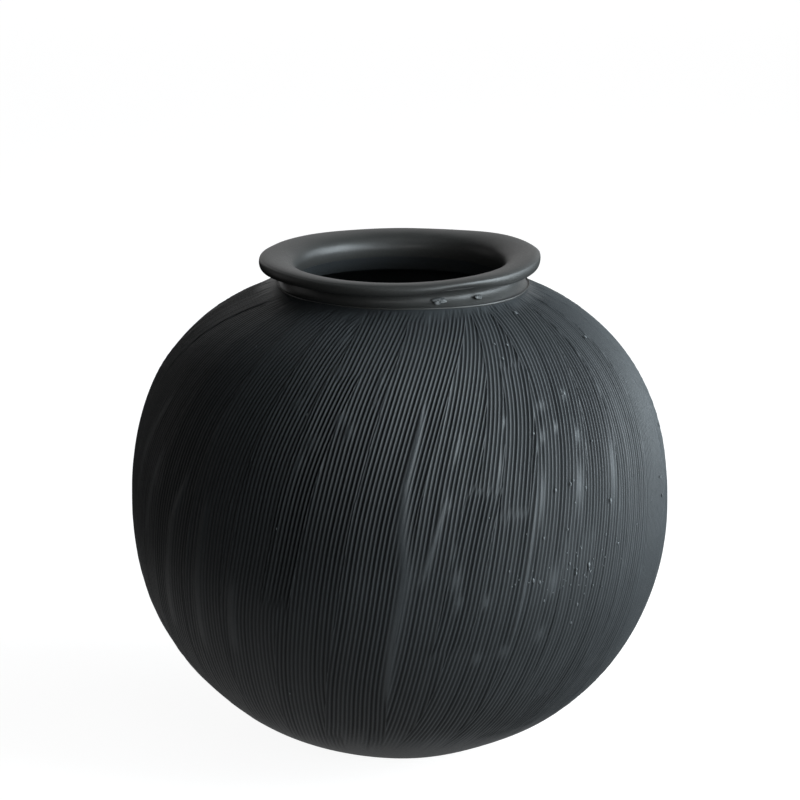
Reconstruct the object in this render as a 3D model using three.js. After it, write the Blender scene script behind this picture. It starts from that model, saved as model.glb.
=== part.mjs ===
// A hand-built black clay pot: a near-spherical body on a small flat foot, a smooth collar
// round the neck and a flared rim. Each node is one piece of clay as the potter joins it.
// Millimetres, +Z up, origin at the centre of the foot's flat face.
import * as THREE from 'three';

// Body: two superellipse quadrants that meet at the widest line.
const BELLY_RADIUS = 150;
const BELLY_HEIGHT = 136;        // the widest line above the table
const LOWER_DEPTH = 141.6;       // vertical half axis under the widest line, cut off by the foot
const LOWER_FULLNESS = 2.07;     // exponent: 2 is an ellipse, more is fuller
const UPPER_RISE = 134;          // vertical half axis over the widest line, cut off by the mouth
const UPPER_FULLNESS = 2.42;
const WALL = 6.5;
const FOOT_THICKNESS = 8;
const FOOT_BEVEL = 6;            // how far the foot's top face stays inside its scarf joint

// Mouth: a throat that flares out into a flat lip with a rounded edge.
const THROAT_RADIUS = 57.3;
const THROAT_WALL = 5.7;
const FLARE_RADIUS = 10;         // curve between the throat and the lip's top face
const LIP_RADIUS = 77.4;
const LIP_TOP = 276.6;
const LIP_EDGE = 4.8;            // thickness of the lip at its rounded edge
const LIP_FALL = 0.8;            // both faces of the lip fall this far towards the throat
const FLARE_START = 96;          // degrees from +X, where the lip's top face turns into the flare

// Collar: a band of clay pressed round the joint of throat and shoulder.
const COLLAR_RADIUS = 67.6;
const COLLAR_TAPER = 0.9;        // the collar is this much narrower at its top
const COLLAR_ROUND = 1.7;        // rounded edges

// Scarf joints: each course laps a little way down the inside of the one under it.
const LAP = 2.4;                 // degrees along the wall, about 6 mm
const JOINT_SHIFT = 0.18;        // degrees along the wall, which leaves the gap below
const GAP = 0.3;                 // between pieces that touch

const AROUND = 48;               // segments round the axis
const WALL_STEP = 6;             // degrees between points along the wall
const ARC_STEP = 22.5;           // degrees between points on the small curves
const DAB_AROUND = 16;           // segments round a dab of clay

// Wall courses from the foot up, by the height at which each one ends on the outside.
const COURSE_TOPS = {
  lower_bowl: 24,
  lower_wall_course: 62,
  lower_belly_course: 108,
  upper_belly_course: 156,
  upper_wall_course: 204,
  shoulder_course: 244,
};

const rad = THREE.MathUtils.degToRad;
const deg = THREE.MathUtils.radToDeg;

function quadrant(angle) {
  const upper = angle > 0;
  return {
    rise: upper ? UPPER_RISE : LOWER_DEPTH,
    power: upper ? UPPER_FULLNESS : LOWER_FULLNESS,
    side: upper ? 1 : -1,
  };
}

// A point of the body's wall. The angle runs from -90 at the bottom to 90 at the top, and
// inset is the distance from the outer face along its normal.
function wallPoint(angle, inset = 0) {
  const { rise, power, side } = quadrant(angle);
  const across = Math.cos(rad(angle)) ** (2 / power);
  const up = Math.abs(Math.sin(rad(angle))) ** (2 / power);
  const normal = new THREE.Vector2(
    across ** (power - 1) / BELLY_RADIUS,
    side * up ** (power - 1) / rise,
  ).normalize();
  const face = new THREE.Vector2(BELLY_RADIUS * across, BELLY_HEIGHT + side * rise * up);
  return face.addScaledVector(normal, -inset);
}

function angleAtHeight(height) {
  const { rise, power, side } = quadrant(height - BELLY_HEIGHT);
  const share = Math.abs(height - BELLY_HEIGHT) / rise;
  return side * deg(Math.asin(share ** (power / 2)));
}

function angleAtRadius(radius) {
  return deg(Math.acos((radius / BELLY_RADIUS) ** (UPPER_FULLNESS / 2)));
}

// Points of the wall between two angles, in the order from the first to the second.
function wallRun(from, to, inset = 0) {
  const steps = Math.max(1, Math.round(Math.abs(to - from) / WALL_STEP));
  return Array.from({ length: steps + 1 }, (_, i) => (
    wallPoint(from + (to - from) * i / steps, inset)));
}

// Points of a circular arc, from one angle to the other, in degrees from +X.
function arcRun(x, y, radius, from, to) {
  const steps = Math.ceil(Math.abs(to - from) / ARC_STEP);
  return Array.from({ length: steps + 1 }, (_, i) => {
    const angle = rad(from + (to - from) * i / steps);
    return new THREE.Vector2(x + radius * Math.cos(angle), y + radius * Math.sin(angle));
  });
}

const point = (radius, height) => new THREE.Vector2(radius, height);

// A solid of revolution about Z, whose profile runs up its outer side and down its inner one.
function turned(profile, around = AROUND) {
  return new THREE.LatheGeometry(profile, around).rotateX(Math.PI / 2);
}

function ring(profile) {
  return turned([...profile, profile[0].clone()]);
}

const LIP_UNDERSIDE = LIP_TOP - LIP_EDGE - LIP_FALL;
const FOOT_ANGLE = angleAtHeight(0);
const MOUTH_ANGLE = angleAtRadius(THROAT_RADIUS);

// The slab that the pot is started on: a disc whose edge is cut to a scarf.
function footPad() {
  const top = wallPoint(FOOT_ANGLE - LAP, WALL);
  return turned([
    point(0, 0),
    wallPoint(FOOT_ANGLE),
    top,
    point(top.x - FOOT_BEVEL, FOOT_THICKNESS),
    point(0, FOOT_THICKNESS),
  ]);
}

// A band of wall between two outside angles. Its lower joint laps inside the course below,
// and its upper one is lapped by the course above, or cut square where it ends at the mouth.
function wallCourse(from, to) {
  const upperLap = to === MOUTH_ANGLE ? 0 : LAP;
  const start = from + JOINT_SHIFT;
  return ring([
    ...wallRun(start, to),
    ...wallRun(to - upperLap, start - LAP, WALL),
  ]);
}

// The throat stands on the mouth course's edge, and its foot follows that course's slope.
function flaredRim() {
  const outer = THROAT_RADIUS + THROAT_WALL;
  const seatInside = wallPoint(MOUTH_ANGLE).y + GAP;
  const seatOutside = wallPoint(angleAtRadius(outer)).y + GAP;
  const edge = LIP_EDGE / 2;
  const flareCentre = point(THROAT_RADIUS + FLARE_RADIUS, LIP_TOP - LIP_FALL - FLARE_RADIUS);
  return ring([
    point(outer, seatOutside),
    point(outer, LIP_UNDERSIDE),
    ...arcRun(LIP_RADIUS - edge, LIP_TOP - edge, edge, -90, 90),
    ...arcRun(flareCentre.x, flareCentre.y, FLARE_RADIUS, FLARE_START, 180),
    point(THROAT_RADIUS, seatInside),
  ]);
}

// A band in the corner between the mouth course, the throat's wall and the lip's underside.
function neckCollar() {
  const inner = THROAT_RADIUS + THROAT_WALL + GAP;
  const foot = COLLAR_RADIUS - COLLAR_ROUND;
  const footHeight = wallPoint(angleAtRadius(foot)).y + GAP;
  const top = LIP_UNDERSIDE - GAP;
  return ring([
    point(inner, wallPoint(angleAtRadius(inner)).y + GAP),
    ...arcRun(foot, footHeight + COLLAR_ROUND, COLLAR_ROUND, -90, 0),
    ...arcRun(foot - COLLAR_TAPER, top - COLLAR_ROUND, COLLAR_ROUND, 0, 90),
    point(inner, top),
  ]);
}

// A small oval dab of clay with a flat back, lying on the XY plane.
function dab(length, width, proud) {
  const dome = arcRun(0, 0, 1, 0, 90 - ARC_STEP);
  return turned([point(0, 0), ...dome, point(0, 1)], DAB_AROUND)
    .scale(length / 2, width / 2, proud);
}

const pot = new THREE.Group();

function add(name, geometry, colour, roughness) {
  const material = new THREE.MeshStandardMaterial({ color: colour, roughness, metalness: 0 });
  const mesh = new THREE.Mesh(geometry, material);
  mesh.name = name;
  pot.add(mesh);
  return mesh;
}

add('foot_pad', footPad(), '#242728', 0.7);

let courseStart = FOOT_ANGLE;
for (const [name, height] of Object.entries(COURSE_TOPS)) {
  const courseEnd = angleAtHeight(height);
  add(name, wallCourse(courseStart, courseEnd), '#25292b', 0.6);
  courseStart = courseEnd;
}
add('mouth_course', wallCourse(courseStart, MOUTH_ANGLE), '#25292b', 0.6);
add('neck_collar', neckCollar(), '#2b2e30', 0.5);
add('flared_rim', flaredRim(), '#303233', 0.45);

// Two dabs of clay on the collar. The bearing is measured round the axis from the front.
const DABS = {
  collar_dab_left: { bearing: 19, height: 263.9, length: 7.6, width: 4.2, proud: 1.5 },
  collar_dab_right: { bearing: 38, height: 263.9, length: 4.6, width: 3, proud: 1.3 },
};
for (const [name, { bearing, height, length, width, proud }] of Object.entries(DABS)) {
  const mesh = add(name, dab(length, width, proud), '#33373a', 0.5);
  mesh.position.set(0, -(COLLAR_RADIUS + GAP), height);
  mesh.rotation.x = Math.PI / 2;
  const turn = new THREE.Group();
  turn.rotation.z = rad(bearing);
  turn.add(mesh);
  pot.add(turn);
}

export default pot;
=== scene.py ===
import math

import bpy
import numpy as np
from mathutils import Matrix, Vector


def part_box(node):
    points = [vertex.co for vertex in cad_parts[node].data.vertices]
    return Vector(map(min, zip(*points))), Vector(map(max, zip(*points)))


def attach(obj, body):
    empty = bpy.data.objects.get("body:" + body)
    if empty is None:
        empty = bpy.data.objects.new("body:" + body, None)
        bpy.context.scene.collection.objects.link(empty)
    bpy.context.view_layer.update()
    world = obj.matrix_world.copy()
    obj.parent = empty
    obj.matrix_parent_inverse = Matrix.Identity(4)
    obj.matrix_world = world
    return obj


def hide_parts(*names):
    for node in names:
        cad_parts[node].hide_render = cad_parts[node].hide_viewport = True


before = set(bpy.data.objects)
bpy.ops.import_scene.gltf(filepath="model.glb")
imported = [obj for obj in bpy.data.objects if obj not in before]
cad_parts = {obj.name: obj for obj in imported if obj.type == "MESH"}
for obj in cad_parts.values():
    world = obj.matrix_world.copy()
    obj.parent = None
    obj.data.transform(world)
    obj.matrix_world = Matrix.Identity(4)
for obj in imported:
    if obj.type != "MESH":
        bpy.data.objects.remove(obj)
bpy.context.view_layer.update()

# A hand-built black clay pot. Metres, +Z up, origin at the centre of the foot. A bearing is
# measured round the axis from the front, -Y, and grows towards +X.

MM = 0.001
TURN = 2 * math.pi
UP = np.array([0.0, 0.0, 1.0])

# Every random choice comes from a generator with its own seed.
SEEDS = {
    "strokes": 11,
    "smears": 23,
    "hand": 5,
    "crumbs": 29,
    "foot": 3,
    "rim": 41,
    "collar": 43,
}

# ---------------------------------------------------------------- the body, as in the CAD model
BELLY_RADIUS = 150 * MM
BELLY_HEIGHT = 136 * MM
LOWER_DEPTH = 141.6 * MM
LOWER_FULLNESS = 2.07
UPPER_RISE = 134 * MM
UPPER_FULLNESS = 2.42
WALL = 6.5 * MM
LAP = 6 * MM                      # how far a course laps down inside the one below
LAP_GAP = 0.3 * MM                # left free under the lap
THROAT_RADIUS = 57.3 * MM
THROAT_WALL = 5.7 * MM

# What the potter's hands leave uneven, over and above the CAD model.
SHOULDER_SWELL = 0.9 * MM         # the upper half leans a little to the left, -X
SWELL_RISE = (-40 * MM, 90 * MM)  # heights over the belly between which the swell sets in
SWELL_WANE = (235 * MM, 262 * MM)      # heights between which most of it is lost again
SWELL_LOSS = 0.8
HAND_WAVES = 14
HAND_UNEVENNESS = 0.28 * MM
STILL_AT_FOOT = 12 * MM           # lengths over which all relief fades out at the wall's two ends
STILL_AT_MOUTH = 10 * MM

COURSES = [
    "lower_bowl",
    "lower_wall_course",
    "lower_belly_course",
    "upper_belly_course",
    "upper_wall_course",
    "shoulder_course",
    "mouth_course",
]

# ---------------------------------------------------------------- fineness of the meshes
INNER_COLUMNS = 192
COLUMNS_PER_INNER = 13
COLUMNS = INNER_COLUMNS * COLUMNS_PER_INNER
ROW_STEP = 2.4 * MM
INNER_ROW_STEP = 9 * MM

# ---------------------------------------------------------------- the comb
STROKES = 29                      # strokes side by side round the pot
STROKE_BEARING = math.radians(0.9)     # of one boundary between strokes, at the belly
TEETH = 14
PITCH = 2.38 * MM                 # between teeth, at the belly
PITCH_AT_NECK = 0.95              # share of the pitch left where the comb is turned at the neck
GROOVE_DEPTH = 0.60 * MM
GROOVE_SQUARENESS = 0.65          # under 1, the grooves are wider than the ridges between them
# How hard the comb is pressed: height, share of the groove's depth.
PRESSURE = [
    (50 * MM, 0.80),
    (125 * MM, 0.84),
    (165 * MM, 1.25),
    (190 * MM, 1.42),
    (218 * MM, 1.45),
    (238 * MM, 1.05),
    (258 * MM, 0.65),
]
# And how that varies round the pot: bearing in degrees, share. The left side is only just combed.
PRESSURE_ROUND = [
    (-180, 1.0),
    (-110, 1.0),
    (-80, 0.45),
    (-45, 0.40),
    (-32, 0.60),
    (-22, 0.85),
    (-10, 1.05),
    (5, 1.0),
    (20, 0.95),
    (40, 1.12),
    (70, 1.0),
    (180, 1.0),
]
LIGHT_SHADE = 0.5                 # share of a groove's shade that stays however lightly it is cut
STROKE_HOLLOW = 0.28 * MM         # the comb presses each stroke slightly hollow
BURR = 0.07 * MM                  # clay pushed up along both sides of a stroke
BURR_OUTSIDE = 0.1                # pitches from the stroke's side to the crest of the burr
BURR_WIDTH = 0.3                  # half width of the burr, in pitches

LEAN_AT_NECK = 0.25               # sideways travel of a stroke per length along the wall
LEAN_AT_BELLY = 0.17
LEAN_AT_FOOT = 0.42
FOOT_LEAN_REACH = 0.6             # share of the way up to the belly that the foot's lean reaches
FAN_LEAN = 0.15                   # above the belly, near the front, they lean this much more
FAN_RISE = (20 * MM, 80 * MM)     # lengths above the belly between which that sets in
FAN_SIDES = (-20, 0, 5, 50)       # columns, in degrees, where it begins, is full, wanes and ends
NECK_TURN = (130 * MM, 15 * MM)   # lengths below the mouth between which the comb is turned

COMB_TOP_RADIUS = 77 * MM         # the strokes begin here, just off the collar
COMB_END_HEIGHT = 30 * MM         # and fade out here
NUDGES = {1: -0.9 * MM, 2: 1.7 * MM}   # strokes moved from their even places, by number
SPACING_SPREAD = 0.5 * MM
END_SPREAD = (5 * MM, 2 * MM)     # of a stroke's lower and upper end
LEAN_SPREAD = 0.006
SHUFFLE = 2.5                     # strokes less than this many places apart may change turns
SETTLE = (18 * MM, 6 * MM)        # half length of the fade at a stroke's lower and upper end
STROKE_DEPTHS = (0.88, 1.08)
TOOTH_DEPTHS = (0.8, 1.08)
TOOTH_END_SPREAD = 2 * MM
SWAY_SPREAD = 0.22 * MM           # of the slow waves that a stroke makes from side to side
SWAY_LENGTHS = (190 * MM, 80 * MM)

# Short strokes that go over the first ones: bearing of the middle in degrees, lower and upper
# height in mm, teeth, and how much more they lean.
RETOUCHES = [
    (13.5, 96, 181, 8, 0.035),
    (37.0, 60, 150, 9, -0.03),
    (-21.0, 120, 236, 7, 0.03),
    (27.0, 168, 238, 7, -0.04),
    (57.0, 70, 200, 8, 0.03),
    (-44.0, 50, 170, 9, -0.025),
]
# The others are random, from the right side round the back to the left side.
RANDOM_RETOUCHES = 16
RETOUCH_LOW = (40, 190)           # lower height and length in mm
RETOUCH_LENGTH = (50, 120)
RETOUCH_TOP = 250
RETOUCH_TEETH = (6, 10)           # the second number itself is never drawn
RETOUCH_BEARING = (70, 310)
RETOUCH_LEAN_SPREAD = 0.03
RETOUCH_SETTLE = (5 * MM, 3 * MM)


def smoothstep(low, high, value):
    t = np.clip((value - low) / (high - low), 0, 1)
    return t * t * (3 - 2 * t)


def nearest(angle):
    """An angle brought into -pi to pi."""
    return (angle + math.pi) % TURN - math.pi


def sector(sides, bearing):
    """1 between the middle two of four bearings in degrees, fading to 0 at the outer two."""
    begin, full, wane, gone = np.radians(sides)
    side = nearest(bearing)
    return smoothstep(begin, full, side) * (1 - smoothstep(wane, gone, side))


def compass(bearing):
    """Level unit vectors outwards and to the right at a bearing."""
    ahead = np.array([math.sin(bearing), -math.cos(bearing), 0])
    return ahead, np.array([math.cos(bearing), math.sin(bearing), 0])


class Wall:
    """The body's outer curve from the foot to the mouth, by length along it."""

    SAMPLES = 6000

    def __init__(self):
        foot = -math.asin((BELLY_HEIGHT / LOWER_DEPTH) ** (LOWER_FULLNESS / 2))
        mouth = math.acos((THROAT_RADIUS / BELLY_RADIUS) ** (UPPER_FULLNESS / 2))
        angle = np.linspace(foot, mouth, self.SAMPLES)
        rise = np.where(angle > 0, UPPER_RISE, LOWER_DEPTH)
        power = np.where(angle > 0, UPPER_FULLNESS, LOWER_FULLNESS)
        side = np.sign(angle)
        across = np.cos(angle) ** (2 / power)
        up = np.abs(np.sin(angle)) ** (2 / power)
        out = across ** (power - 1) / BELLY_RADIUS
        lift = side * up ** (power - 1) / rise
        size = np.hypot(out, lift)
        self.radius = BELLY_RADIUS * across
        self.height = BELLY_HEIGHT + side * rise * up
        self.out = out / size
        self.lift = lift / size
        steps = np.hypot(np.diff(self.radius), np.diff(self.height))
        self.length = np.concatenate([[0], np.cumsum(steps)])
        self.end = self.length[-1]
        self.belly = self.at_height(BELLY_HEIGHT)
        near_foot = 1 - smoothstep(0, self.belly * FOOT_LEAN_REACH, self.length)
        near_neck = smoothstep(self.belly, self.end, self.length)
        lean = (LEAN_AT_BELLY + (LEAN_AT_FOOT - LEAN_AT_BELLY) * near_foot
                + (LEAN_AT_NECK - LEAN_AT_BELLY) * near_neck)
        twist = np.concatenate([[0], np.cumsum(steps * (lean / self.radius)[1:])])
        self.twist = twist - np.interp(self.belly, self.length, twist)
        more = FAN_LEAN * smoothstep(*FAN_RISE, self.length - self.belly)
        self.fan = np.concatenate([[0], np.cumsum(steps * (more / self.radius)[1:])])

    def at_height(self, height):
        return float(np.interp(height, self.height, self.length))

    def at_radius_above_belly(self, radius):
        above = self.height > BELLY_HEIGHT
        return float(np.interp(-radius, -self.radius[above], self.length[above]))

    def look_up(self, table, s):
        return np.interp(s, self.length, table)

    def bearing(self, phi, s):
        """Bearing of a column, which leans with the comb, at a length along the wall."""
        fan = self.look_up(self.fan, s) * sector(FAN_SIDES, phi)
        return phi + self.look_up(self.twist, s) + fan

    def column(self, bearing, s):
        """The column that passes a bearing at a length along the wall."""
        phi = bearing
        for _ in range(8):
            phi = phi + bearing - self.bearing(phi, s)
        return phi

    def points(self, phi, s, offset):
        """Points at columns phi and lengths s, moved out by offset."""
        radius = self.look_up(self.radius, s) + offset * self.look_up(self.out, s)
        height = self.look_up(self.height, s) + offset * self.look_up(self.lift, s)
        bearing = self.bearing(phi, s)
        x, y = radius * np.sin(bearing), -radius * np.cos(bearing)
        return np.stack(np.broadcast_arrays(x, y, height), axis=-1)


WALL_CURVE = Wall()


# ---------------------------------------------------------------- the surface of the clay
def waves(rng, count, bearing, s, size, around=(2, 7), along=(0.08, 0.3)):
    """A sum of gentle waves, of about the given size."""
    total = np.zeros(np.broadcast(bearing, s).shape)
    for _ in range(count):
        turns = rng.integers(around[0], around[1] + 1)
        length = rng.uniform(*along)
        drift = rng.choice([-1, 1]) * TURN / length
        total += np.cos(turns * bearing + drift * s + rng.uniform(0, TURN))
    return size * total / math.sqrt(count)


# Places where a finger or the next stroke has smeared the grooves:
# bearing in degrees, height, half width and half length in mm, and how much is lost.
SMEARS = [
    (-19, 250, 3.0, 4.0, 0.8),
    (-17, 238, 3.5, 3.0, 0.7),
    (-23, 231, 2.5, 4.0, 0.7),
    (-25, 222, 3.0, 3.5, 0.8),
    (-14, 217, 2.5, 3.5, 0.9),
    (-11.5, 211, 2.5, 4.0, 0.9),
    (-19.5, 205, 4.0, 4.5, 0.7),
    (-22, 194, 2.5, 5.0, 0.7),
    (-5, 234, 1.5, 5.0, 0.6),
    (-6, 225, 1.5, 3.0, 0.7),
    (12, 203, 1.6, 8.0, 0.8),
    (17, 123, 2.0, 3.5, 0.85),
    (16, 90, 2.5, 3.5, 0.8),
    (22, 93, 3.0, 4.0, 0.8),
    (30, 100, 2.5, 4.5, 0.8),
    (32, 128, 2.5, 8.0, 0.8),
    (24, 214, 1.6, 3.5, 0.7),
    (21, 191, 1.3, 9.0, 0.7),
    (35, 219, 3.0, 2.5, 0.6),
    (33, 205, 1.6, 4.0, 0.65),
    (37, 208, 1.8, 3.0, 0.6),
    (42.5, 202, 2.0, 5.0, 0.65),
    (43, 222, 2.2, 3.0, 0.6),
    (30, 174, 1.8, 16.0, 0.7),
    (40, 177, 2.2, 12.0, 0.8),
    (51, 180, 3.0, 16.0, 0.7),
    (9.6, 175, 1.4, 4.0, 0.8),
    (10.4, 150, 1.8, 7.0, 0.5),
    (10.8, 136, 3.0, 6.0, 0.75),
    (11.4, 124, 2.4, 5.0, 0.7),
]
RANDOM_SMEARS = 110
# The random ones are all behind, with the same five values drawn from these ranges.
RANDOM_SMEAR_RANGES = [(75, 285), (45, 250), (1.5, 3.5), (3, 12), (0.4, 0.8)]

# Long faded bands, where the side of the hand or of the comb has rubbed the grooves away:
# along each one from below, bearing in degrees, and height and half width in mm.
BANDS = [
    [
        (-3.2, 66, 1.8), (-1.9, 100, 2.5), (0.9, 138, 3.6),
        (0.3, 163, 4.0), (1.0, 186, 2.9), (5.5, 224, 1.4),
    ],
    [(4.0, 136, 2.6), (7.0, 161, 1.9), (9.2, 180, 1.3)],
    [(-38, 88, 3.0), (-36, 130, 2.5)],
    [(-48, 83, 3.0), (-46, 123, 3.2), (-43, 166, 2.0)],
    [(-59, 88, 3.0), (-57, 115, 3.4), (-54, 151, 3.0), (-50, 176, 2.0)],
    [(-66, 140, 2.6), (-61, 184, 2.2)],
    [(-73, 155, 2.4), (-70, 184, 3.0), (-66, 210, 2.0)],
]
BAND_LOSS = 0.95
BAND_FADE = 9 * MM                # half the height over which a band comes in and goes out

# Crumbs of clay left on the wall: bearing in degrees, height and size across in mm.
CRUMBS = [
    (49.5, 256.5, 1.7),
    (30, 247, 1.0),
    (34, 246, 1.1),
    (30, 241, 1.0),
    (43, 222, 1.2),
    (33.5, 177.5, 1.3),
    (48.5, 165, 1.4),
    (41.5, 134, 1.6),
    (27.5, 132, 1.3),
    (29, 130.5, 1.0),
    (38, 131, 1.1),
    (39, 113, 1.2),
    (38, 103, 1.0),
]
RANDOM_CRUMBS = 45
RANDOM_CRUMB_RANGES = [(60, 340), (50, 250), (0.6, 1.3)]
# Where crumbs lie close: middle bearing and spread, middle height and spread, size, count.
CRUMB_CLUSTERS = [
    (38, 9, 165, 25, 0.8, 18),
    (37, 7, 128, 11, 0.6, 40),
]
CRUMB_SIZES = (0.65, 1.35)        # shares of the cluster's size
CRUMB_STRETCH = (1.4, 2.2)        # length over width
CRUMB_UNEVENNESS = 0.18
CRUMB_FLATNESS = 0.6
CRUMB_SINK = 0.2 * MM
CRUMB_DUST = 0.7                  # how much of the dry clay's tone a crumb shows
CRUMB_MESH = (6, 10)              # rows and columns of points


class Stroke:
    """One pull of the comb: where its middle runs, how many teeth press in, and where it ends."""

    def __init__(self, rng, centre, teeth, low, high, lean, settle):
        self.centre = centre
        self.teeth = teeth
        self.low = low
        self.high = high
        self.lean = lean
        self.settle = settle
        self.depth = rng.uniform(*STROKE_DEPTHS)
        self.tooth_depth = rng.uniform(*TOOTH_DEPTHS, teeth)
        self.tooth_end = rng.normal(0, TOOTH_END_SPREAD, (2, teeth))
        self.sway = rng.normal(0, SWAY_SPREAD, 2)
        self.sway_turn = rng.uniform(0, TURN, 2)

    def press(self, phi, s, radius, pitch, pressure, height, groove):
        """Lay this stroke over the relief so far."""
        half = pitch * self.teeth / 2
        middle = (self.low + self.high) / 2
        sway = sum(
            size * np.sin(TURN * s / length + turn)
            for size, length, turn in zip(self.sway, SWAY_LENGTHS, self.sway_turn)
        )
        run = WALL_CURVE.bearing(phi, s) - WALL_CURVE.bearing(self.centre, s)
        across = nearest(run) * radius - sway - self.lean * (s - middle)
        inside = np.abs(across) < half
        place = np.clip((across + half) / pitch, 0, self.teeth - 1e-6)
        tooth = place.astype(int)
        cut = (0.5 - 0.5 * np.cos(TURN * (place - tooth))) ** GROOVE_SQUARENESS
        low = self.low + self.tooth_end[0][tooth]
        high = self.high + self.tooth_end[1][tooth]
        along = smoothstep(-self.settle[0], self.settle[0], s - low)
        along = along * smoothstep(-self.settle[1], self.settle[1], high - s)
        strength = self.depth * self.tooth_depth[tooth]
        hollow = STROKE_HOLLOW * (1 - (across / half) ** 2)
        crest = half + BURR_OUTSIDE * pitch
        burr = BURR * np.exp(-((np.abs(across) - crest) / (BURR_WIDTH * pitch)) ** 2)
        new_height = np.where(inside, -GROOVE_DEPTH * pressure * strength * cut - hollow, height)
        new_groove = np.where(inside, cut * strength, groove)
        share = np.where(inside, along, 0)
        height = height * (1 - share) + new_height * share + burr * along
        return height, groove * (1 - share) + new_groove * share


def comb_strokes():
    """All strokes in the order in which they were pulled."""
    rng = np.random.default_rng(SEEDS["strokes"])
    spacing = TURN / STROKES
    top = WALL_CURVE.at_radius_above_belly(COMB_TOP_RADIUS)
    end = WALL_CURVE.at_height(COMB_END_HEIGHT)
    strokes = []
    for k in range(STROKES):
        shift = (rng.normal(0, SPACING_SPREAD) + NUDGES.get(k, 0)) / BELLY_RADIUS
        strokes.append(Stroke(
            rng,
            STROKE_BEARING + (k + 0.5) * spacing + shift,
            TEETH,
            end + rng.normal(0, END_SPREAD[0]),
            top + rng.normal(0, END_SPREAD[1]),
            rng.normal(0, LEAN_SPREAD),
            SETTLE,
        ))
    order = np.argsort(np.arange(STROKES) + rng.uniform(0, SHUFFLE, STROKES))
    strokes = [strokes[k] for k in order]
    retouches = list(RETOUCHES)
    for _ in range(RANDOM_RETOUCHES):
        low = rng.uniform(*RETOUCH_LOW)
        high = min(low + rng.uniform(*RETOUCH_LENGTH), RETOUCH_TOP)
        teeth = int(rng.integers(*RETOUCH_TEETH))
        bearing = rng.uniform(*RETOUCH_BEARING)
        retouches.append((bearing, low, high, teeth, rng.normal(0, RETOUCH_LEAN_SPREAD)))
    for bearing, low, high, teeth, lean in retouches:
        low_s, high_s = WALL_CURVE.at_height(low * MM), WALL_CURVE.at_height(high * MM)
        centre = WALL_CURVE.column(math.radians(bearing), (low_s + high_s) / 2)
        strokes.append(Stroke(rng, centre, teeth, low_s, high_s, lean, RETOUCH_SETTLE))
    return strokes


def comb(phi, s):
    """Height of the combed clay over the mean wall, and how deep in a groove each point is."""
    radius = WALL_CURVE.look_up(WALL_CURVE.radius, s)
    begin, full = NECK_TURN
    near_neck = smoothstep(WALL_CURVE.end - begin, WALL_CURVE.end - full, s)
    pitch = PITCH * (1 - (1 - PITCH_AT_NECK) * near_neck)
    levels, shares = zip(*PRESSURE)
    pressure = np.interp(WALL_CURVE.look_up(WALL_CURVE.height, s), levels, shares)
    sides, shares = zip(*PRESSURE_ROUND)
    around = np.interp(np.degrees(nearest(WALL_CURVE.bearing(phi, s))), sides, shares)
    pressure = pressure * around
    height = np.zeros(np.broadcast(phi, s).shape)
    groove = np.zeros(height.shape)
    for stroke in comb_strokes():
        height, groove = stroke.press(phi, s, radius, pitch, pressure, height, groove)
    return height, groove * (LIGHT_SHADE + (1 - LIGHT_SHADE) * np.minimum(around, 1))


def smears(phi, s):
    """How much of the grooves is left, from 0 to 1."""
    rng = np.random.default_rng(SEEDS["smears"])
    left = np.ones(np.broadcast(phi, s).shape)
    bearing = WALL_CURVE.bearing(phi, s)
    radius = WALL_CURVE.look_up(WALL_CURVE.radius, s)
    spots = list(SMEARS)
    for _ in range(RANDOM_SMEARS):
        spots.append(tuple(rng.uniform(*span) for span in RANDOM_SMEAR_RANGES))
    for spot_bearing, spot_height, width, length, loss in spots:
        middle = WALL_CURVE.at_height(spot_height * MM)
        column = WALL_CURVE.column(math.radians(spot_bearing), middle)
        x = nearest(bearing - WALL_CURVE.bearing(column, s)) * radius / (width * MM)
        y = (s - middle) / (length * MM)
        left = left * (1 - loss * np.exp(-x ** 2 - y ** 2))
    level = WALL_CURVE.look_up(WALL_CURVE.height, s)
    for band in BANDS:
        bearings, levels, widths = np.array(band, dtype=float).T
        levels, widths = levels * MM, widths * MM
        x = nearest(bearing - np.radians(np.interp(level, levels, bearings))) * radius
        width = np.interp(level, levels, widths)
        come = smoothstep(levels[0] - BAND_FADE, levels[0] + BAND_FADE, level)
        wane = 1 - smoothstep(levels[-1] - BAND_FADE, levels[-1] + BAND_FADE, level)
        left = left * (1 - BAND_LOSS * come * wane * np.exp(-(x / width) ** 2))
    return left


def clay_relief(phi, s):
    """Offset of the outer surface from the mean wall, and how deep in a groove each point is."""
    bearing = WALL_CURVE.bearing(phi, s)
    height, groove = comb(phi, s)
    left = smears(phi, s)
    hand = waves(np.random.default_rng(SEEDS["hand"]), HAND_WAVES, bearing, s, HAND_UNEVENNESS)
    level = WALL_CURVE.look_up(WALL_CURVE.height, s)
    up = smoothstep(*SWELL_RISE, level - BELLY_HEIGHT)
    up = up * (1 - SWELL_LOSS * smoothstep(*SWELL_WANE, level))
    swell = -SHOULDER_SWELL * up * np.sin(bearing)
    steady = smoothstep(0, STILL_AT_FOOT, s) * smoothstep(0, STILL_AT_MOUTH, WALL_CURVE.end - s)
    return (height * left + hand + swell) * steady, groove * left


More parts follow.
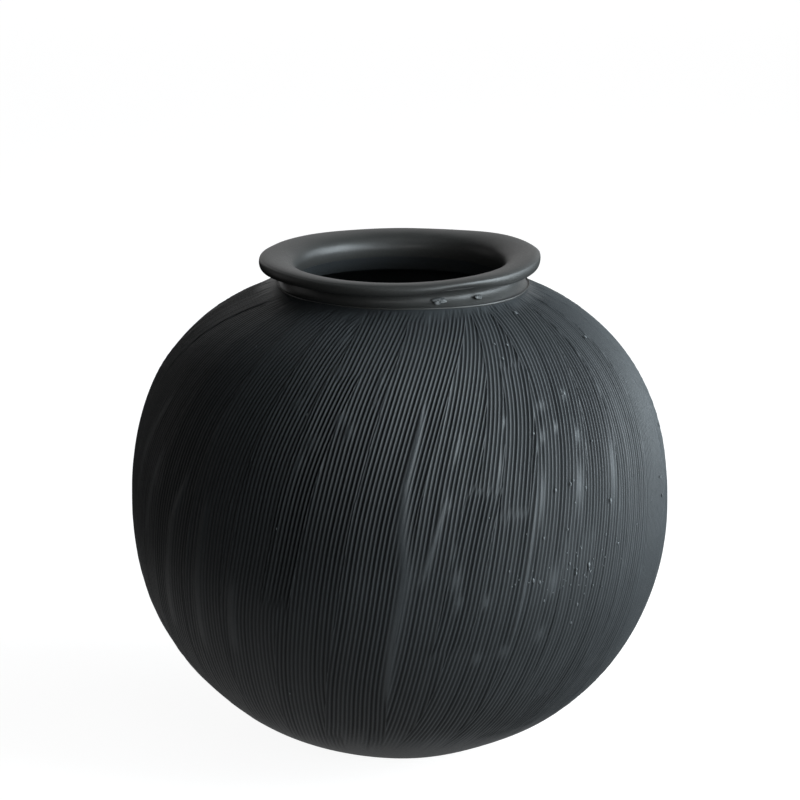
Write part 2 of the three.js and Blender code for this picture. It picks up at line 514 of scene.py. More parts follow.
def crumbs(low, high, first_index):
    """Small lumps stuck on the wall between two lengths along it, as points and faces."""
    rng = np.random.default_rng(SEEDS["crumbs"])
    spots = list(CRUMBS)
    for _ in range(RANDOM_CRUMBS):
        spots.append(tuple(rng.uniform(*span) for span in RANDOM_CRUMB_RANGES))
    for middle, spread, level, rise, across, count in CRUMB_CLUSTERS:
        for _ in range(count):
            size = across * rng.uniform(*CRUMB_SIZES)
            spots.append((rng.normal(middle, spread), rng.normal(level, rise), size))
    t, a = lump_angles(*CRUMB_MESH)
    vertices, faces = [], []
    for bearing, height, size in spots:
        stretch, turn = rng.uniform(*CRUMB_STRETCH), rng.uniform(0, TURN)
        s = WALL_CURVE.at_height(height * MM)
        if not low <= s < high:
            continue
        ahead, side = compass(math.radians(bearing))
        out = WALL_CURVE.look_up(WALL_CURVE.out, s)
        lift = WALL_CURVE.look_up(WALL_CURVE.lift, s)
        normal = ahead * out + UP * lift
        up = np.cross(normal, side)
        radius = WALL_CURVE.look_up(WALL_CURVE.radius, s)
        centre = ahead * radius + UP * height * MM - normal * CRUMB_SINK
        half = size * MM / 2
        reach = half * (1 + CRUMB_UNEVENNESS * np.cos(2 * a + turn) * np.sin(3 * t))
        x = (np.sin(t) * np.cos(a) * reach)[..., None]
        y = (np.sin(t) * np.sin(a) * reach * stretch)[..., None]
        z = (np.cos(t) * reach)[..., None] * CRUMB_FLATNESS
        points = (centre + x * side + y * up + z * normal).reshape(-1, 3)
        poles = centre + np.outer([half, -half], normal) * CRUMB_FLATNESS
        faces += lump_faces(*CRUMB_MESH, first_index + len(vertices))
        vertices.extend(points.tolist() + poles.tolist())
    return np.array(vertices).reshape(-1, 3), faces


# ---------------------------------------------------------------- meshes
def ring_quads(rows, columns, start=0, closed=False):
    """Faces of a lattice that closes round the axis; closed also joins the last row to the first."""
    row = np.arange(rows if closed else rows - 1)[:, None]
    column = np.arange(columns)[None, :]
    after = (column + 1) % columns
    above = (row + 1) % rows
    quads = np.stack([
        row * columns + column,
        row * columns + after,
        above * columns + after,
        above * columns + column,
    ], axis=-1)
    return (quads.reshape(-1, 4) + start).tolist()


def bridge(fine, coarse, outward):
    """Faces between a fine ring of points and a coarse one, given by their first indices."""
    ratio = COLUMNS_PER_INNER
    faces = []
    for j in range(INNER_COLUMNS):
        here = coarse + j
        after = coarse + (j + 1) % INNER_COLUMNS
        for i in range(ratio):
            a = fine + j * ratio + i
            b = fine + (j * ratio + i + 1) % COLUMNS
            corner = here if i <= ratio // 2 else after
            faces.append([a, b, corner] if outward else [b, a, corner])
            if i == ratio // 2:
                faces.append([b, after, here] if outward else [b, here, after])
    return faces


def lump_angles(rows, columns):
    """Angles down from the top of a closed lump and round it, for each of its points."""
    t = np.linspace(0, math.pi, rows + 2)[1:-1, None]
    a = (np.arange(columns) * TURN / columns)[None, :]
    return t, a


def lump_faces(rows, columns, start=0):
    """Faces of a closed lump: rows of points, then one point at its top and one at its bottom."""
    faces = [face[::-1] for face in ring_quads(rows, columns, start)]
    top = start + rows * columns
    last = top - columns
    for j in range(columns):
        after = (j + 1) % columns
        faces.append([start + j, start + after, top])
        faces.append([last + after, last + j, top + 1])
    return faces


def add_object(name, data):
    obj = bpy.data.objects.new(name, data)
    bpy.context.scene.collection.objects.link(obj)
    return obj


def new_object(name, vertices, faces):
    mesh = bpy.data.meshes.new(name)
    mesh.from_pydata(vertices.tolist(), [], faces)
    mesh.validate()
    mesh.polygons.foreach_set("use_smooth", [True] * len(mesh.polygons))
    return add_object(name, mesh)


def sharpen_rings(mesh, rings):
    """Mark the edges within each range of vertices, so that shading turns a corner there."""
    ends = np.empty(2 * len(mesh.edges), dtype=np.int32)
    mesh.edges.foreach_get("vertices", ends)
    ends = ends.reshape(-1, 2)
    sharp = np.zeros(len(ends), dtype=bool)
    for low, high in rings:
        sharp |= ((ends >= low) & (ends < high)).all(axis=1)
    mesh.attributes.new("sharp_edge", "BOOLEAN", "EDGE").data.foreach_set("value", sharp)


def store(obj, name, values):
    attribute = obj.data.attributes.new(name, "FLOAT", "POINT")
    attribute.data.foreach_set("value", np.ascontiguousarray(values, dtype=np.float32))


def finish_piece(obj, material, slot, *nodes):
    obj.data.materials.append(material)
    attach(obj, "root")
    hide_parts(*nodes)


# ---------------------------------------------------------------- materials
DRY_CLAY = (0.12, 0.13, 0.135, 1)   # clay left unburnished, and crumbs of it
# The inside of the pot is lightened towards that tone: painted light where the lamps hardly reach.
INSIDE_PAINTED_LIGHT = 0.3                 # how much of that shows inside the pot
CLAY_IOR = 1.5
CLOUDS = {"Scale": 14.0, "Detail": 5.0, "Roughness": 0.6}
SPECKS = {"Scale": 900.0, "Detail": 3.0, "Roughness": 0.7}
NOISE_MIDDLE = (0.3, 0.7)         # the part of a noise that takes up the whole change
SPECK_MIDDLE = (0.25, 0.75)
SPECK_TONES = (0.8, 1.2)
GRAIN_HEIGHT = 0.25 * MM
# What changes from a ridge to the bottom of a groove: tone and gloss, lowered as painted shade, and
# added roughness.
GROOVE_PAINTED_SHADE = (1.12, 0.38)
GROOVE_GLOSS = (0.5, 0.12)
GROOVE_ROUGHER = 0.22


class Nodes:
    """A material's nodes, and the few ways in which this script adds to them."""

    def __init__(self, material):
        material.use_nodes = True
        self.tree = material.node_tree
        self.tree.nodes.clear()

    def make(self, kind, **settings):
        node = self.tree.nodes.new(kind)
        for key, value in settings.items():
            if key in node.inputs:
                node.inputs[key].default_value = value
            else:
                setattr(node, key, value)
        return node

    def feed(self, socket, source):
        """Link a socket to an output, or set its value."""
        if isinstance(source, bpy.types.NodeSocket):
            self.tree.links.new(source, socket)
        else:
            socket.default_value = source

    def shader(self):
        output = self.make("ShaderNodeOutputMaterial")
        shader = self.make("ShaderNodeBsdfPrincipled")
        self.feed(output.inputs["Surface"], shader.outputs["BSDF"])
        return shader

    def attribute(self, name):
        return self.make("ShaderNodeAttribute", attribute_name=name).outputs["Fac"]

    def remap(self, value, source, target):
        """A value with its source range stretched over the target range."""
        node = self.make("ShaderNodeMapRange")
        for side, ends in (("From", source), ("To", target)):
            node.inputs[side + " Min"].default_value = ends[0]
            node.inputs[side + " Max"].default_value = ends[1]
        self.feed(node.inputs["Value"], value)
        return node.outputs["Result"]

    def mix(self, share, first, second, blend="MIX"):
        """Two colours mixed: the colour sockets of this node are 6 and 7, and its result 2."""
        node = self.make("ShaderNodeMix", data_type="RGBA", blend_type=blend)
        for socket, source in ((0, share), (6, first), (7, second)):
            self.feed(node.inputs[socket], source)
        return node.outputs[2]


def black_clay(name, base, light, roughness, grain, combed=False):
    """Smoke-fired clay: a cloudy near-black, a soft sheen and a fine sandy grain; when combed,
    painted shade darkens its grooves.
    """
    material = bpy.data.materials.new(name)
    nodes = Nodes(material)
    shader = nodes.shader()
    shader.inputs["IOR"].default_value = CLAY_IOR
    cloud_noise = nodes.make("ShaderNodeTexNoise", **CLOUDS)
    speck_noise = nodes.make("ShaderNodeTexNoise", **SPECKS)
    place = nodes.make("ShaderNodeTexCoord").outputs["Object"]
    for noise in (cloud_noise, speck_noise):
        nodes.feed(noise.inputs["Vector"], place)
    cloud, speck = cloud_noise.outputs["Fac"], speck_noise.outputs["Fac"]

    colour = nodes.mix(nodes.remap(cloud, NOISE_MIDDLE, (0, 1)), (*base, 1), (*light, 1))
    colour = nodes.mix(1, colour, nodes.remap(speck, SPECK_MIDDLE, SPECK_TONES), "MULTIPLY")
    # Towards the dry clay's tone: real dust on crumbs and dabs, painted light on the inside of the
    # pot.
    colour = nodes.mix(nodes.attribute("dust_and_painted_light"), colour, DRY_CLAY)
    finish = nodes.remap(speck, NOISE_MIDDLE, roughness)
    if combed:
        groove = nodes.attribute("groove")
        # Painted shade: the colour darkens, and below it the gloss drops, towards the bottom of each
        # groove.
        colour = nodes.mix(1, colour, nodes.remap(groove, (0, 1), GROOVE_PAINTED_SHADE), "MULTIPLY")
        rougher = nodes.make("ShaderNodeMath", operation="MULTIPLY_ADD")
        for socket, source in zip(rougher.inputs, (groove, GROOVE_ROUGHER, finish)):
            nodes.feed(socket, source)
        finish = rougher.outputs["Value"]
        nodes.feed(shader.inputs["Specular IOR Level"], nodes.remap(groove, (0, 1), GROOVE_GLOSS))
    bump = nodes.make("ShaderNodeBump", Strength=grain, Distance=GRAIN_HEIGHT)
    nodes.feed(bump.inputs["Height"], speck)
    nodes.feed(shader.inputs["Base Color"], colour)
    nodes.feed(shader.inputs["Roughness"], finish)
    nodes.feed(shader.inputs["Normal"], bump.outputs["Normal"])
    return material


# Each clay: its darker and lighter tone, least and most roughness, and strength of grain.
COMBED_CLAY = black_clay(
    "combed_black_clay", (0.023, 0.026, 0.028), (0.034, 0.038, 0.041), (0.40, 0.56), 0.5, combed=True)
SMOOTHED_CLAY = black_clay(
    "smoothed_black_clay", (0.028, 0.028, 0.027), (0.038, 0.038, 0.036), (0.37, 0.48), 0.3)
PLAIN_CLAY = black_clay(
    "plain_black_clay", (0.020, 0.022, 0.023), (0.030, 0.031, 0.032), (0.50, 0.66), 0.6)


# ---------------------------------------------------------------- the wall courses
def wall_courses():
    """The body: one combed surface, cut at the tops of the CAD courses, with a wall behind it."""
    joints = [0.0] + [WALL_CURVE.at_height(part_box(name)[1][2]) for name in COURSES[:-1]]
    joints.append(WALL_CURVE.end)
    rows = [np.array([0.0])]
    spans = []
    for low, high in zip(joints, joints[1:]):
        count = math.ceil((high - low) / ROW_STEP)
        first = sum(len(r) for r in rows) - 1
        rows.append(np.linspace(low, high, count + 1)[1:])
        spans.append((first, first + count))
    s = np.concatenate(rows)[:, None]
    phi = (np.arange(COLUMNS) * TURN / COLUMNS)[None, :]
    offset, groove = clay_relief(phi, s)
    outer = WALL_CURVE.points(phi, s, offset)
    along = np.gradient(outer, axis=0)
    round_axis = np.roll(outer, -1, axis=1) - np.roll(outer, 1, axis=1)
    normals = np.cross(round_axis, along)
    normals /= np.linalg.norm(normals, axis=-1, keepdims=True)

    inner_phi = (np.arange(INNER_COLUMNS) * TURN / INNER_COLUMNS)[None, :]
    for name, (first, last) in zip(COURSES, spans):
        low, high = s[first, 0], s[last, 0]
        top = high - LAP
        bottom = low - (LAP - LAP_GAP)
        count = math.ceil((top - bottom) / INNER_ROW_STEP)
        inner_s = np.linspace(top, bottom, count + 1)[:, None]
        if name == COURSES[0]:
            inner_s = np.maximum(inner_s, 0)
        inner = WALL_CURVE.points(inner_phi, inner_s, -WALL)
        outside = outer[first:last + 1].reshape(-1, 3)
        vertices = np.concatenate([outside, inner.reshape(-1, 3)])
        outer_rows = last - first + 1
        start = len(outside)
        faces = ring_quads(outer_rows, COLUMNS)
        outer_loops = np.array(faces).ravel()
        faces += ring_quads(len(inner_s), INNER_COLUMNS, start)
        faces += bridge(start - COLUMNS, start, outward=True)
        faces += bridge(0, len(vertices) - INNER_COLUMNS, outward=False)
        lump_vertices, lump_faces = crumbs(low, high, len(vertices))
        vertices = np.concatenate([vertices, lump_vertices])
        faces += lump_faces
        obj = new_object(name + "_clay", vertices, faces)
        sharpen_rings(obj.data, [(0, COLUMNS), (start - COLUMNS, start)])
        # The outside takes its normals from the uncut surface, so that shading runs on from course
        # to course. A normal left at zero stays as the mesh has it.
        own_normals = np.zeros((len(obj.data.loops), 3))
        own_normals[:len(outer_loops)] = normals[first:last + 1].reshape(-1, 3)[outer_loops]
        obj.data.normals_split_custom_set(own_normals.tolist())
        measure = np.zeros(len(vertices))
        measure[:start] = groove[first:last + 1].ravel()
        store(obj, "groove", measure)
        dust_and_painted_light = np.zeros(len(vertices))
        # Painted light on the inside; the crumbs' dry clay is their own tone.
        dust_and_painted_light[start:] = INSIDE_PAINTED_LIGHT
        dust_and_painted_light[len(vertices) - len(lump_vertices):] = CRUMB_DUST
        store(obj, "dust_and_painted_light", dust_and_painted_light)
        finish_piece(obj, COMBED_CLAY, "combed_black_clay", name)


# ---------------------------------------------------------------- foot, collar, rim and dabs
def spin(profile, columns):
    """The bearings of some columns, and a profile's radii and heights repeated at each."""
    bearing = (np.arange(columns) * TURN / columns)[None, :]
    radius = np.repeat(profile[:, :1], columns, axis=1)
    height = np.repeat(profile[:, 1:], columns, axis=1)
    return bearing, radius, height


def round_points(bearing, radius, height):
    points = np.stack([radius * np.sin(bearing), -radius * np.cos(bearing), height], axis=-1)
    return points.reshape(-1, 3)


def lathe(name, profile, shape):
    """A ring whose profile goes up its outer side and down its inner one, and varies by bearing."""
    bearing, radius, height = spin(profile, RING_COLUMNS)
    radius, height = shape(bearing, radius, height)
    faces = ring_quads(len(profile), RING_COLUMNS, closed=True)
    return new_object(name, round_points(bearing, radius, height), faces)


def ellipse(x, y, across, up, start, end, count):
    """Points of an ellipse from one angle to another, in degrees."""
    angle = np.radians(np.linspace(start, end, count))
    return np.stack([x + across * np.cos(angle), y + up * np.sin(angle)], axis=-1)


def line(start, end, count):
    """Points from start towards end, without the end itself."""
    share = np.linspace(0, 1, count, endpoint=False)[:, None]
    return np.array(start) * (1 - share) + np.array(end) * share


def wall_top(radius):
    """Height of the shoulder at a radius."""
    return WALL_CURVE.look_up(WALL_CURVE.height, WALL_CURVE.at_radius_above_belly(radius))


FOOT_HUB = 4 * MM                 # radius of the innermost ring of points, above and below
FOOT_BEVEL = 1.5 * MM
FOOT_SHOULDER = (8 * MM, 1 * MM)  # in from the edge and down from the top
FOOT_TOP_INSET = 10 * MM
FOOT_DISH = 0.25 * MM             # the underside is hollow by this much,
FOOT_DISH_EDGE = 12 * MM          # which sets in over this width
FOOT_UNEVENNESS = 0.1 * MM


def foot_pad():
    """The slab that the pot was started on: flat above, slightly hollow below."""
    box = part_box("foot_pad")
    edge = WALL_CURVE.radius[0]
    thickness = box[1][2]
    inset, drop = FOOT_SHOULDER
    rings = [(r, 0.0) for r in np.linspace(FOOT_HUB, edge, 12)]
    rings += [(edge - FOOT_BEVEL, FOOT_BEVEL), (edge - inset, thickness - drop)]
    rings += [(r, thickness) for r in np.linspace(edge - FOOT_TOP_INSET, FOOT_HUB, 8)]
    bearing, radius, height = spin(np.array(rings), INNER_COLUMNS)
    rng = np.random.default_rng(SEEDS["foot"])
    dish = np.where(height == 0, 1.0, 0.0) * smoothstep(0, FOOT_DISH_EDGE, edge - radius)
    uneven = waves(rng, 8, bearing, radius, FOOT_UNEVENNESS, (1, 5), (0.02, 0.06))
    height = height + dish * (FOOT_DISH + uneven)
    points = round_points(bearing, radius, height)
    centre_low = len(points)
    vertices = np.concatenate([points, [[0, 0, FOOT_DISH], [0, 0, thickness]]])
    faces = ring_quads(len(rings), INNER_COLUMNS)
    last = centre_low - INNER_COLUMNS
    for j in range(INNER_COLUMNS):
        after = (j + 1) % INNER_COLUMNS
        faces.append([after, j, centre_low])
        faces.append([last + j, last + after, centre_low + 1])
    obj = new_object("foot_pad_clay", vertices, faces)
    finish_piece(obj, PLAIN_CLAY, "plain_black_clay", "foot_pad")


RING_COLUMNS = 384
LIP_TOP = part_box("flared_rim")[1][2]
LIP_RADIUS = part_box("flared_rim")[1][0]
LIP_EDGE = 4.8 * MM               # thickness of the lip
LIP_FALL = 0.8 * MM               # its underside falls by this much towards the throat
LIP_CREST_INSET = 5.4 * MM        # the crest of the lip stands this far inside its edge
LIP_EASE = 0.1 * MM               # the top starts this far inside the edge, and eases into it
RIM_BED = 0.4 * MM                # the foot of the rim is let into the wall
FLARE_DEPTH = 8.6 * MM            # from the lip's crest down to the narrowest part of the throat
THROAT_TURN = 7 * MM              # below its waist the throat opens into the pot: half width
THROAT_DROP = 10 * MM             # and half height of that curve

# The lip is warped: how its plane is out of level,
LIP_TILT_ACROSS = 0.9 * MM        # up on the right and down on the left
LIP_FRONT_DROP = 0.6 * MM
LIP_BACK_RISE = 1.5 * MM
LIP_SADDLE = 1.0 * MM             # half of its rise at both sides over front and back
WARP_FULL = 4 * MM                # below the lip's top, where the warp is full
# how its edge hangs, measured at its lower side,
LIP_HANG = 1.4 * MM               # all round, against the CAD model
LIP_SIDE_DROOP = 1.2 * MM         # more at both sides
LIP_RIGHT_DROOP = 0.9 * MM        # and most at the right,
RIGHT_SIDE = (0.4, 0.8)           # between these sines of the bearing
LIP_THIN = 2.1 * MM               # but less a little right of the front
LIP_THIN_BEARING = math.radians(26)
LIP_THIN_SPREAD = math.radians(15)
LIP_SKIN = 0.6 * MM               # the top of the lip stays as it is, to this depth
LIP_HANG_WIDTH = 8 * MM           # and the hang sets in over this width, inside the crest
# and how uneven it is.
LIP_WOBBLE = 0.4 * MM             # outwards
LIP_RIPPLE = 0.2 * MM             # upwards
RIM_FINGERING = 0.08 * MM

COLLAR_FOOT_RADIUS = 68.3 * MM
COLLAR_SPREAD = 3.4 * MM          # on the right its foot reaches this much further out
COLLAR_SPREAD_SIDES = (0, 45, 110, 180)     # bearings where that begins, is full, wanes and ends
COLLAR_SPREAD_INSET = 2 * MM      # it is full from this far inside the foot
COLLAR_SINK = 0.6 * MM            # elsewhere the foot is worked down into the wall
COLLAR_BED = 0.5 * MM             # its underside lies this deep in the wall
COLLAR_TOE = 0.7 * MM             # radius of the rounded toe
COLLAR_TOE_RISE = 0.8 * MM        # and height of its middle
COLLAR_TOE_INSET = 1.2 * MM       # the underside ends this far inside the toe
COLLAR_HOLLOW = (4.2 * MM, 4.6 * MM)   # half width and half height of the hollow up its side
COLLAR_WAIST = 5.2 * MM           # height of the hollow's middle over the foot,
COLLAR_WAIST_OUT = 0.4 * MM       # and how far outside the foot it stands
COLLAR_HEIGHT = 10 * MM
COLLAR_TOP_INSET = 3.2 * MM       # the top edge stands this far inside the foot
COLLAR_TOP_ROUND = 0.8 * MM
COLLAR_RIPPLE = 0.25 * MM
COLLAR_FINGERING = 0.06 * MM
WALL_SLOPE = (wall_top(68 * MM) - wall_top(72 * MM)) / (4 * MM)   # of the wall under the collar


def lip_drift(bearing, radius):
    """How far the lip's plane is out of level."""
    share = radius / LIP_RADIUS
    front = 0.5 + 0.5 * np.cos(bearing)
    saddle = LIP_SADDLE * (1 - np.cos(2 * bearing))
    level = LIP_BACK_RISE * (1 - front) - LIP_FRONT_DROP * front + saddle
    return share * (LIP_TILT_ACROSS * np.sin(bearing) + level)


def flared_rim():
    """The throat and the lip: up the outside, over the edge and crest, and down the throat."""
    outer = THROAT_RADIUS + THROAT_WALL
    edge = LIP_EDGE / 2
    low = LIP_TOP - LIP_EDGE
    seat = wall_top(outer) - RIM_BED
    crest = LIP_RADIUS - LIP_CREST_INSET
    waist = LIP_TOP - FLARE_DEPTH
    profile = np.concatenate([
        line((outer, seat), (outer, low - LIP_FALL), 4),
        line((outer, low - LIP_FALL), (LIP_RADIUS - edge, low), 6),
        ellipse(LIP_RADIUS - edge, low + edge, edge, edge, -90, 30, 10),
        ellipse(crest, LIP_TOP - edge, LIP_CREST_INSET - LIP_EASE, edge, 36, 86, 7),
        ellipse(crest, waist, crest - THROAT_RADIUS, FLARE_DEPTH, 90, 180, 22),
        ellipse(THROAT_RADIUS + THROAT_TURN, waist, THROAT_TURN, THROAT_DROP, 187, 250, 10),
    ])
    rng = np.random.default_rng(SEEDS["rim"])

    def shape(bearing, radius, height):
        share = smoothstep(THROAT_RADIUS, LIP_RADIUS, radius)
        up = smoothstep(WALL_CURVE.height[-1], LIP_TOP - WARP_FULL, height)
        along = radius * 0
        wobble = waves(rng, 6, bearing, along, LIP_WOBBLE, (2, 6))
        lift = waves(rng, 6, bearing, along, LIP_RIPPLE, (3, 8))
        slant = height * 0.6 + radius
        fingering = waves(rng, 8, bearing, slant, RIM_FINGERING, (8, 22), (0.01, 0.03))
        away = nearest(bearing - LIP_THIN_BEARING) / LIP_THIN_SPREAD
        depth = np.clip((LIP_TOP - LIP_SKIN - height) / (LIP_EDGE - LIP_SKIN), 0, 1)
        at_edge = smoothstep(crest - LIP_HANG_WIDTH, crest, radius)
        side = np.sin(bearing)
        droop = LIP_SIDE_DROOP * side ** 4 + LIP_RIGHT_DROOP * smoothstep(*RIGHT_SIDE, side)
        thin = LIP_THIN * np.exp(-away ** 2) - droop - LIP_HANG
        radius = radius + share * wobble + up * fingering
        height = height + up * lip_drift(bearing, radius) + share * up * lift
        height = height + thin * depth * at_edge
        return radius, height

    obj = lathe("flared_rim_clay", profile, shape)
    finish_piece(obj, SMOOTHED_CLAY, "smoothed_black_clay", "flared_rim")


def collar_spread(bearing):
    return COLLAR_SPREAD * sector(COLLAR_SPREAD_SIDES, bearing)


def neck_collar():
    """A band whose upper part lies back under the lip, and whose foot turns out over the wall."""
    inner = THROAT_RADIUS + THROAT_WALL
    top = LIP_TOP - LIP_EDGE - LIP_FALL
    foot = COLLAR_FOOT_RADIUS
    toe = foot - COLLAR_TOE_INSET
    floor = wall_top(foot)
    brow = floor + COLLAR_HEIGHT - COLLAR_TOP_ROUND
    profile = np.concatenate([
        [(inner, wall_top(inner) - COLLAR_BED)],
        [(toe, wall_top(toe) - COLLAR_BED)],
        ellipse(foot - COLLAR_TOE, floor + COLLAR_TOE_RISE, COLLAR_TOE, COLLAR_TOE, -80, 50, 8),
        ellipse(foot + COLLAR_WAIST_OUT, floor + COLLAR_WAIST, *COLLAR_HOLLOW, 258, 125, 20),
        ellipse(foot - COLLAR_TOP_INSET, brow, COLLAR_TOP_ROUND, COLLAR_TOP_ROUND, 10, 90, 4),
        [(inner, floor + COLLAR_HEIGHT)],
    ])
    rng = np.random.default_rng(SEEDS["collar"])

    def shape(bearing, radius, height):
        out = smoothstep(inner, foot, radius)
        up = smoothstep(floor, top, height)
        ripple = waves(rng, 7, bearing, radius * 0, COLLAR_RIPPLE, (3, 11))
        fingering = waves(rng, 8, bearing, height, COLLAR_FINGERING, (15, 34), (0.006, 0.02))
        radius = radius + out * (ripple + fingering)
        height = height + up * lip_drift(bearing, radius)
        sink = COLLAR_SINK * (1 - collar_spread(bearing) / COLLAR_SPREAD)
        height = height - (1 - up) * sink
        spread = collar_spread(bearing) * smoothstep(inner, foot - COLLAR_SPREAD_INSET, radius)
        height = height - (1 - up) * spread * WALL_SLOPE
        radius = radius + spread
        return radius, height

    obj = lathe("neck_collar_clay", profile, shape)
    finish_piece(obj, SMOOTHED_CLAY, "smoothed_black_clay", "neck_collar")


# Lumps of clay pressed on the collar: bearing in degrees; height, length, width and how far it
# stands out, in mm; how much of the dry clay's tone it shows; and the seed of its shape.
DABS = {
    "collar_dab_left": (18.5, 264.8, 7.8, 3.6, 0.45, 0.35, 7),
    "collar_dab_right": (38, 265.0, 4.6, 2.6, 0.6, 0.3, 9),
}
DAB_MESH = (13, 40)               # rows and columns of points
DAB_LUMPS = 0.17
DAB_GRIT = 0.07
DAB_BURIED = 0.35                 # its depth in the collar, as a share of its height over it


def dab(node, bearing, height, length, width, proud, dust_and_painted_light, seed):
    """A small lump of clay on the hollow side of the collar, uneven and thin at its edge."""
    rng = np.random.default_rng(seed)
    t, a = lump_angles(*DAB_MESH)
    lump = 1 + waves(rng, 5, a, t, DAB_LUMPS, (1, 4), (1.5, 5))
    lump = lump + waves(rng, 6, a, t, DAB_GRIT, (4, 8), (0.5, 1))
    x = np.sin(t) * np.cos(a) * lump * length / 2
    y = np.sin(t) * np.sin(a) * lump * width / 2
    z = np.cos(t) * lump * proud
    z = np.where(z < 0, z * DAB_BURIED, z)
    points = np.stack([x, y, z], axis=-1).reshape(-1, 3)
    points = np.concatenate([points, [[0, 0, proud], [0, 0, -proud * DAB_BURIED]]])
    out, side = compass(bearing)
    across, rise = COLLAR_HOLLOW
    sink = (height - wall_top(COLLAR_FOOT_RADIUS) - COLLAR_WAIST) / rise
    depth = across * math.sqrt(1 - sink ** 2)
    reach = COLLAR_FOOT_RADIUS + COLLAR_WAIST_OUT + float(collar_spread(bearing)) - depth
    tilt = math.atan2(-sink / rise, depth / across ** 2)
    normal = out * math.cos(tilt) + UP * math.sin(tilt)
    up = np.cross(normal, side)
    centre = out * reach + UP * height
    vertices = centre + side * points[:, :1] + up * points[:, 1:2] + normal * points[:, 2:]
    obj = new_object(node + "_clay", vertices, lump_faces(*DAB_MESH))
    store(obj, "dust_and_painted_light", np.full(len(vertices), dust_and_painted_light))
    finish_piece(obj, SMOOTHED_CLAY, "smoothed_black_clay", node)


wall_courses()
foot_pad()
neck_collar()
flared_rim()
for dab_node, (dab_bearing, *dab_sizes, dab_dust, dab_seed) in DABS.items():
    dab(dab_node, math.radians(dab_bearing), *[v * MM for v in dab_sizes], dab_dust, dab_seed)


# ---------------------------------------------------------------- camera, floor and light
CAMERA_DISTANCE = 1.609
CAMERA_ELEVATION = math.radians(16.4)
AIM_ABOVE_BELLY = math.radians(2.02)   # the pot sits low in the frame
SENSOR_WIDTH = 36                 # mm
LENS = 128.565                    # mm

FLOOR_RINGS = [0.5, 1.5, 4, 12]   # radii
FLOOR_COLUMNS = 96
FLOOR_CLOUDS = {"Scale": 3.0, "Detail": 2.0}
FLOOR_TONES = [(0.25, 0.25, 0.25, 1), (0.28, 0.28, 0.28, 1)]
FLOOR_GLOW = 0.92                 # keeps the floor near white where no lamp reaches it
WHITE = (1.0, 1.0, 1.0)

# Soft lamps turned to the belly: bearing and elevation in degrees, distance, width and height,
# watts and colour.
WINDOW_COLOUR = (0.84, 0.94, 1.0)
FILL_COLOUR = (0.9, 0.97, 1.0)
SOFTBOXES = {
    "window": (76, 22, 1.5, (1.2, 1.5), 53, WINDOW_COLOUR),
    "window_side": (114, 18, 1.6, (0.5, 1.2), 7, WINDOW_COLOUR),
    "fill": (36, 7, 1.8, (0.9, 0.8), 14, FILL_COLOUR),
    "top": (20, 76, 1.6, (1.4, 1.4), 2.2, WHITE),
    "behind": (-108, 10, 1.6, (1.0, 1.4), 1.4, WHITE),
    "backdrop": (180, 24, 5.5, (7.0, 5.0), 69, WHITE),
}
# A narrow beam over the front of the lip.
BEAM_WATTS = 4.2
BEAM_ANGLE = math.radians(9)
BEAM_SOFTNESS = 0.05              # radius of the lamp
BEAM_FROM = (-10, 18, 1.0)        # bearing, elevation and distance from where it is aimed,
BEAM_AIM = (0.012, 0, LIP_TOP + 0.012)
# Light thrown up by the table.
BOUNCE_SIZE = 0.8
BOUNCE_WATTS = 0.48
BOUNCE_HEIGHT = 1 * MM


def set_camera():
    data = bpy.data.cameras.new("camera")
    data.sensor_width = SENSOR_WIDTH
    data.lens = LENS
    camera = add_object("camera", data)
    camera.location = (
        0,
        -CAMERA_DISTANCE * math.cos(CAMERA_ELEVATION),
        BELLY_HEIGHT + CAMERA_DISTANCE * math.sin(CAMERA_ELEVATION),
    )
    camera.rotation_euler = (math.pi / 2 - CAMERA_ELEVATION + AIM_ABOVE_BELLY, 0, 0)
    bpy.context.scene.camera = camera


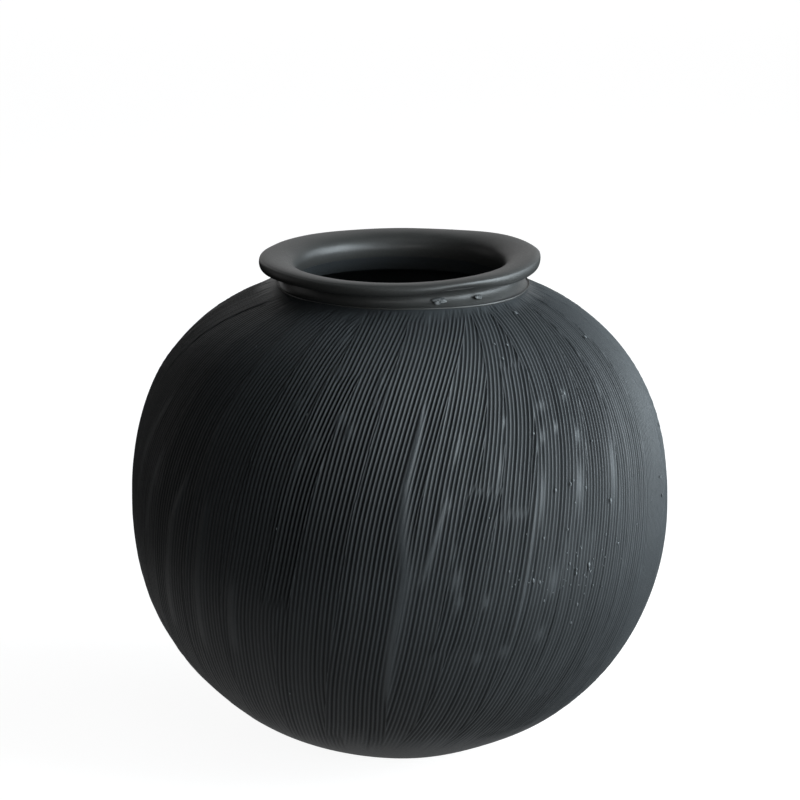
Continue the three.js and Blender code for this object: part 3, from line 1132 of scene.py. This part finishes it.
def floor():
    """A wide pale disc that glows a little, and doesn't show in the clay."""
    profile = np.array([(radius, 0.0) for radius in FLOOR_RINGS])
    vertices = round_points(*spin(profile, FLOOR_COLUMNS))
    vertices = np.concatenate([vertices, [[0, 0, 0]]])
    faces = [face[::-1] for face in ring_quads(len(FLOOR_RINGS), FLOOR_COLUMNS)]
    faces += [[len(vertices) - 1, j, (j + 1) % FLOOR_COLUMNS] for j in range(FLOOR_COLUMNS)]
    obj = new_object("floor", vertices, faces)
    material = bpy.data.materials.new("pale_floor")
    nodes = Nodes(material)
    shader = nodes.shader()
    noise = nodes.make("ShaderNodeTexNoise", **FLOOR_CLOUDS).outputs["Fac"]
    nodes.feed(shader.inputs["Base Color"], nodes.mix(noise, *FLOOR_TONES))
    shader.inputs["Roughness"].default_value = 0.9
    shader.inputs["Specular IOR Level"].default_value = 0.1
    shader.inputs["Emission Color"].default_value = (*WHITE, 1)
    shader.inputs["Emission Strength"].default_value = FLOOR_GLOW
    obj.data.materials.append(material)
    obj.visible_glossy = False
    obj.visible_diffuse = False


def lamp(name, kind, watts, target, bearing, elevation, distance):
    """A lamp that looks at a point from a bearing, elevation and distance."""
    data = bpy.data.lights.new(name, kind)
    data.energy = watts
    light = add_object(name, data)
    b, e = math.radians(bearing), math.radians(elevation)
    away = Vector((math.sin(b) * math.cos(e), -math.cos(b) * math.cos(e), math.sin(e)))
    light.location = Vector(target) + away * distance
    light.rotation_euler = away.to_track_quat("Z", "Y").to_euler()
    return light


def softbox(name, bearing, elevation, distance, size, watts, colour):
    light = lamp(name, "AREA", watts, (0, 0, BELLY_HEIGHT), bearing, elevation, distance)
    light.data.shape = "RECTANGLE"
    light.data.size, light.data.size_y = size
    light.data.color = colour
    light.visible_camera = False


def mouth_light():
    light = lamp("mouth", "SPOT", BEAM_WATTS, BEAM_AIM, *BEAM_FROM)
    light.data.spot_size = BEAM_ANGLE
    light.data.spot_blend = 1.0
    light.data.shadow_soft_size = BEAM_SOFTNESS


def bounce_card():
    card = lamp("bounce", "AREA", BOUNCE_WATTS, (0, 0, BOUNCE_HEIGHT), 0, -90, 0)
    card.data.shape = "DISK"
    card.data.size = BOUNCE_SIZE
    card.rotation_euler = (math.pi, 0, 0)
    card.visible_camera = False


def set_world():
    """White all round, for the camera alone."""
    world = bpy.data.worlds.new("room")
    bpy.context.scene.world = world
    world.use_nodes = True
    background = world.node_tree.nodes["Background"]
    background.inputs["Color"].default_value = (*WHITE, 1)
    background.inputs["Strength"].default_value = 1.0
    world.cycles_visibility.diffuse = False
    world.cycles_visibility.glossy = False


set_camera()
floor()
set_world()
for softbox_name, softbox_values in SOFTBOXES.items():
    softbox(softbox_name, *softbox_values)
mouth_light()
bounce_card()

bpy.context.scene.view_settings.view_transform = "Standard"
